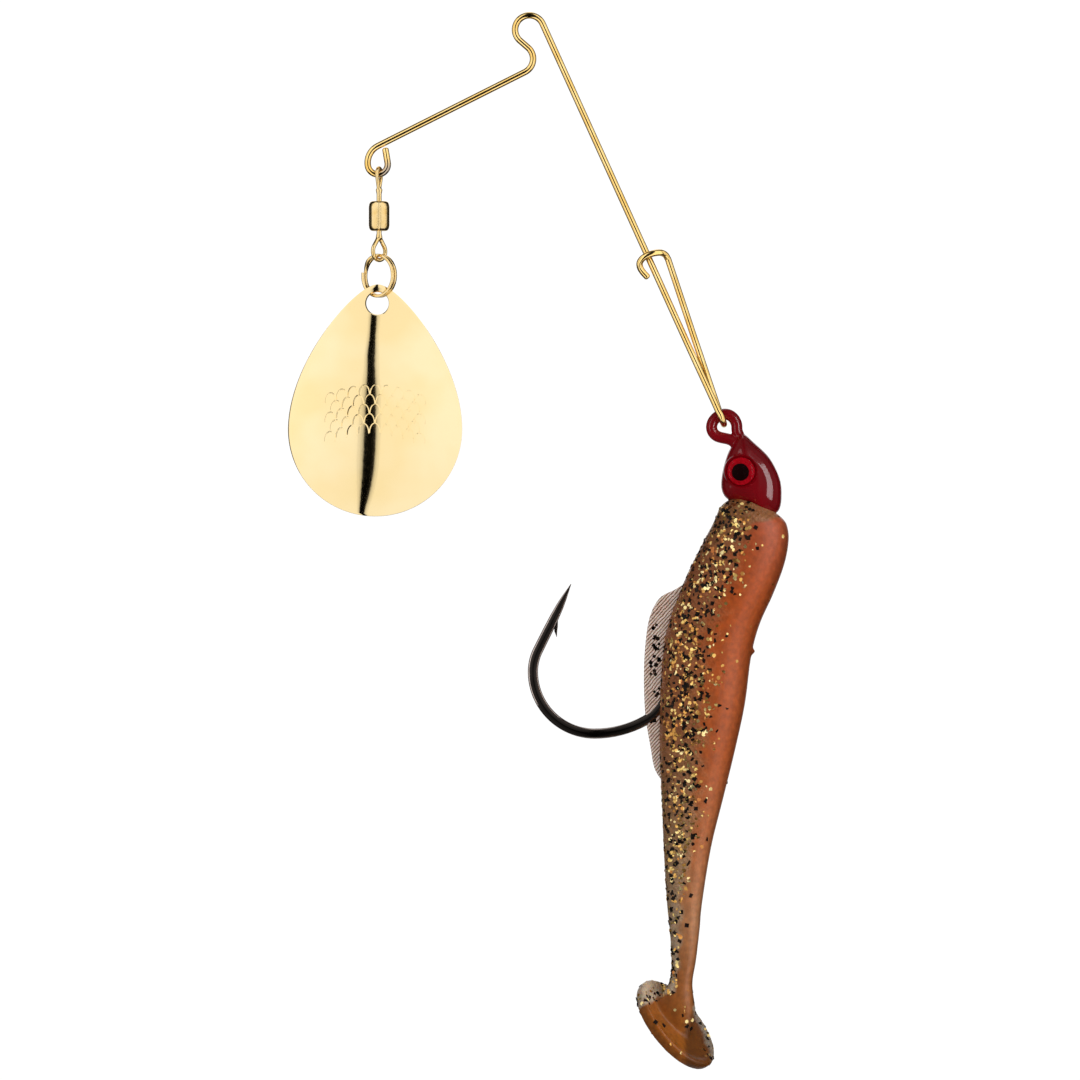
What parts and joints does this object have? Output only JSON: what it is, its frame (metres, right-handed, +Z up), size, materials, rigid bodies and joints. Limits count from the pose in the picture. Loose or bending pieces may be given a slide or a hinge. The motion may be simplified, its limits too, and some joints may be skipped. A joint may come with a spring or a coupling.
{
  "type": "safety-pin spinner lure with jig minnow",
  "caption": "Bent-wire spinner arm with a line tie, a swivelled gold teardrop blade, and a clipped-on red jig head with a single hook and a soft paddle-tail minnow.",
  "frame": {"origin": "centre of the line-tie bend, where the fishing line is tied, at the top of the wire", "axes": "+Z up along the hanging lure, -X towards the blade arm, -Y towards the viewer and the minnow's right cheek"},
  "size_m": [0.0674, 0.0099, 0.1426],
  "materials": {
    "gold_wire": "satin",
    "gold_plate": "polished",
    "black_nickel": "gloss",
    "red_paint": "gloss",
    "red_foil": "gloss",
    "clear_resin": "polished",
    "soft_plastic": "satin"
  },
  "bodies": {
    "arm": {"arm_wire": "gold_wire"},
    "clip": {"clip_leg": "gold_wire"},
    "top_eye": {"swivel_top_eye": "gold_plate"},
    "barrel": {"swivel_barrel": "gold_plate"},
    "bottom_eye": {"swivel_bottom_eye": "gold_plate"},
    "ring": {"split_ring": "gold_plate"},
    "blade": {"blade": "gold_plate"},
    "jig": {"jig_hook": "black_nickel", "jig_head": "red_paint", "eye_foil_left": "red_foil", "eye_foil_right": "red_foil", "eye_dome_left": "clear_resin", "eye_dome_right": "clear_resin", "minnow_body": "soft_plastic"},
    "tail": {"minnow_tail": "soft_plastic"}
  },
  "joints": [
    {"name": "swivel_swing", "type": "hinge", "parent": "arm", "child": "top_eye", "pos_m": [-0.0203, 0, -0.01954], "axis": [1, 0, 0], "range_deg": [-60, 20]},
    {"name": "swivel_spin_top", "type": "hinge", "parent": "top_eye", "child": "barrel", "pos_m": [-0.0203, 0, -0.0234], "axis": [0, 0, 1], "continuous": true},
    {"name": "swivel_spin_bottom", "type": "hinge", "parent": "barrel", "child": "bottom_eye", "pos_m": [-0.0203, 0, -0.0269], "axis": [0, 0, 1], "continuous": true},
    {"name": "ring_swing", "type": "hinge", "parent": "bottom_eye", "child": "ring", "pos_m": [-0.0203, 0, -0.0311], "axis": [0.6691, 0.7431, 0], "range_deg": [-60, 60]},
    {"name": "blade_swing", "type": "hinge", "parent": "ring", "child": "blade", "pos_m": [-0.0203, 0, -0.03595], "axis": [0.7431, -0.6691, 0], "range_deg": [-60, 60]},
    {"name": "jig_swing", "type": "hinge", "parent": "arm", "child": "jig", "pos_m": [0.02626, 0, -0.05326], "axis": [0, 1, 0], "range_deg": [-110, 30]},
    {"name": "clip_release", "type": "hinge", "parent": "arm", "child": "clip", "pos_m": [0.02517, 0.00137, -0.05009], "axis": [0.6686, 0.7071, 0.2302], "range_deg": [0, 22], "stiffness_Nm_per_rad": 0.002},
    {"name": "tail_wag", "type": "hinge", "parent": "jig", "child": "tail", "pos_m": [0.0209, 0, -0.1191], "axis": [1, 0, 0], "range_deg": [-30, 30], "stiffness_Nm_per_rad": 0.0006}
  ]
}
